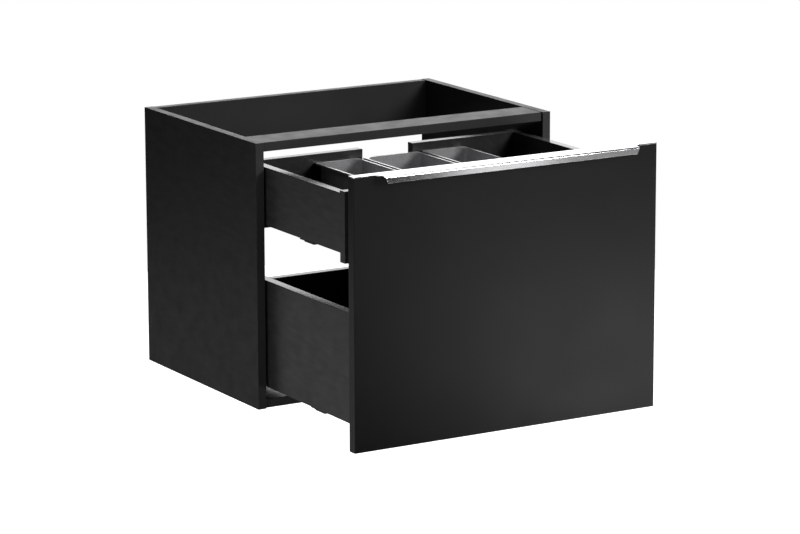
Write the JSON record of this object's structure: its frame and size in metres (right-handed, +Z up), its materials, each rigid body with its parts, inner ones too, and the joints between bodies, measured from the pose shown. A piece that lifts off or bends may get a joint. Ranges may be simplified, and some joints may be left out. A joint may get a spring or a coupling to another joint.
{
  "type": "wall-hung drawer base cabinet",
  "caption": "Black wall-hung base cabinet with one tall pull-out front, a deep lower drawer, a shallow inner drawer with a pipe notch and open grey bins",
  "frame": {"origin": "midway between the two wall-fixing holes, on the plane of the wall behind the cabinet", "axes": "+X to the right seen from the front, +Y into the wall, +Z up"},
  "size_m": [0.6, 0.775, 0.47],
  "materials": {
    "black_board": "satin black melamine-faced chipboard",
    "drawer_board": "black melamine-faced chipboard with glossier edge banding",
    "front_board": "satin black lacquered front",
    "pull_aluminium": "fine brushed anodised aluminium",
    "bin_grey": "silver-grey moulded plastic, satin",
    "screw_steel": "bright zinc-plated steel",
    "cast_fittings": "zinc die-cast, matt",
    "nylon": "natural nylon",
    "lever_grey": "grey moulded plastic",
    "black_plastic": "black moulded plastic",
    "runner_steel": "zinc-plated rolled steel",
    "clear_pad": "soft buffer disc",
    "dowel": "beech"
  },
  "bodies": {
    "cabinet": {"side_panel_left": "black_board", "side_panel_right": "black_board", "top_front_rail": "black_board", "bottom_front_rail": "black_board", "back_top_rail": "black_board", "carcass_dowels": "dowel", "cam_housings": "cast_fittings", "cam_bolts": "cast_fittings", "wall_brackets": "runner_steel", "wall_bracket_screws": "screw_steel", "lower_cabinet_profile_left": "runner_steel", "lower_cabinet_profile_right": "runner_steel", "upper_cabinet_profile_left": "runner_steel", "upper_cabinet_profile_right": "runner_steel", "runner_screws": "screw_steel", "dampers": "black_plastic"},
    "lower_drawer": {"outer_front": "front_board", "edge_pull": "pull_aluminium", "edge_pull_screws": "screw_steel", "buffer_pads": "clear_pad", "front_fixing_screws": "screw_steel", "lower_drawer_side_left": "drawer_board", "lower_drawer_side_right": "drawer_board", "lower_drawer_back": "drawer_board", "lower_drawer_bottom": "drawer_board", "lower_drawer_subfront": "drawer_board", "lower_drawer_dowels": "dowel", "lower_drawer_profile_left": "runner_steel", "lower_drawer_profile_right": "runner_steel", "lower_clip_bodies": "black_plastic", "lower_clip_screws": "screw_steel"},
    "lower_middle": {"lower_middle_profile_left": "runner_steel", "lower_middle_profile_right": "runner_steel", "lower_profile_end_caps": "black_plastic"},
    "lower_outer_cage": {"lower_outer_roller_cages": "nylon"},
    "lower_inner_cage": {"lower_inner_roller_cages": "nylon"},
    "upper_drawer": {"upper_drawer_side_left": "drawer_board", "upper_drawer_side_right": "drawer_board", "upper_drawer_back": "drawer_board", "upper_drawer_bottom": "drawer_board", "upper_drawer_front": "drawer_board", "upper_drawer_dowels": "dowel", "upper_drawer_profile_left": "runner_steel", "upper_drawer_profile_right": "runner_steel", "upper_clip_bodies": "black_plastic", "upper_clip_screws": "screw_steel"},
    "upper_middle": {"upper_middle_profile_left": "runner_steel", "upper_middle_profile_right": "runner_steel", "upper_profile_end_caps": "black_plastic"},
    "upper_outer_cage": {"upper_outer_roller_cages": "nylon"},
    "upper_inner_cage": {"upper_inner_roller_cages": "nylon"},
    "left_bin": {"bin_left": "bin_grey"},
    "middle_bin": {"bin_middle": "bin_grey"},
    "right_bin": {"bin_right": "bin_grey"},
    "lower_lever_left": {"lower_release_lever_left": "lever_grey"},
    "lower_lever_right": {"lower_release_lever_right": "lever_grey"},
    "upper_lever_left": {"upper_release_lever_left": "lever_grey"},
    "upper_lever_right": {"upper_release_lever_right": "lever_grey"}
  },
  "joints": [
    {"name": "lower_drawer_slide", "type": "slide", "parent": "cabinet", "child": "lower_drawer", "axis": [0, -1, 0], "range_m": [-0.315, 0.035]},
    {"name": "lower_middle_slide", "type": "slide", "parent": "cabinet", "child": "lower_middle", "axis": [0, -1, 0], "range_m": [-0.20475, 0.02275]},
    {"name": "lower_outer_cage_roll", "type": "slide", "parent": "cabinet", "child": "lower_outer_cage", "axis": [0, -1, 0], "range_m": [-0.10238, 0.01138]},
    {"name": "lower_inner_cage_roll", "type": "slide", "parent": "cabinet", "child": "lower_inner_cage", "axis": [0, -1, 0], "range_m": [-0.25988, 0.02888]},
    {"name": "upper_drawer_slide", "type": "slide", "parent": "cabinet", "child": "upper_drawer", "axis": [0, -1, 0], "range_m": [-0.272, 0.03022]},
    {"name": "upper_middle_slide", "type": "slide", "parent": "cabinet", "child": "upper_middle", "axis": [0, -1, 0], "range_m": [-0.1768, 0.01965]},
    {"name": "upper_outer_cage_roll", "type": "slide", "parent": "cabinet", "child": "upper_outer_cage", "axis": [0, -1, 0], "range_m": [-0.0884, 0.00982]},
    {"name": "upper_inner_cage_roll", "type": "slide", "parent": "cabinet", "child": "upper_inner_cage", "axis": [0, -1, 0], "range_m": [-0.2244, 0.02493]},
    {"name": "left_bin_lift", "type": "slide", "parent": "upper_drawer", "child": "left_bin", "axis": [0, 0, 1], "range_m": [0, 0.035]},
    {"name": "middle_bin_lift", "type": "slide", "parent": "upper_drawer", "child": "middle_bin", "axis": [0, 0, 1], "range_m": [0, 0.035]},
    {"name": "right_bin_lift", "type": "slide", "parent": "upper_drawer", "child": "right_bin", "axis": [0, 0, 1], "range_m": [0, 0.035]},
    {"name": "lower_lever_left_turn", "type": "hinge", "parent": "lower_drawer", "child": "lower_lever_left", "pos_m": [-0.212, -0.675, -0.282], "axis": [0, 0, 1], "range_deg": [0, 10], "stiffness_Nm_per_rad": 0.05},
    {"name": "lower_lever_right_turn", "type": "hinge", "parent": "lower_drawer", "child": "lower_lever_right", "pos_m": [0.212, -0.675, -0.282], "axis": [0, 0, -1], "range_deg": [0, 10], "stiffness_Nm_per_rad": 0.05},
    {"name": "upper_lever_left_turn", "type": "hinge", "parent": "upper_drawer", "child": "upper_lever_left", "pos_m": [-0.212, -0.627, 0.005], "axis": [0, 0, 1], "range_deg": [0, 10], "stiffness_Nm_per_rad": 0.05},
    {"name": "upper_lever_right_turn", "type": "hinge", "parent": "upper_drawer", "child": "upper_lever_right", "pos_m": [0.212, -0.627, 0.005], "axis": [0, 0, -1], "range_deg": [0, 10], "stiffness_Nm_per_rad": 0.05}
  ],
  "couplings": [
    {"joint": "lower_middle_slide", "follows": "lower_drawer_slide", "ratio": 0.65},
    {"joint": "lower_outer_cage_roll", "follows": "lower_drawer_slide", "ratio": 0.325},
    {"joint": "lower_inner_cage_roll", "follows": "lower_drawer_slide", "ratio": 0.825},
    {"joint": "upper_drawer_slide", "follows": "lower_drawer_slide", "ratio": 0.86349},
    {"joint": "upper_middle_slide", "follows": "lower_drawer_slide", "ratio": 0.56127},
    {"joint": "upper_outer_cage_roll", "follows": "lower_drawer_slide", "ratio": 0.28063},
    {"joint": "upper_inner_cage_roll", "follows": "lower_drawer_slide", "ratio": 0.71238}
  ]
}
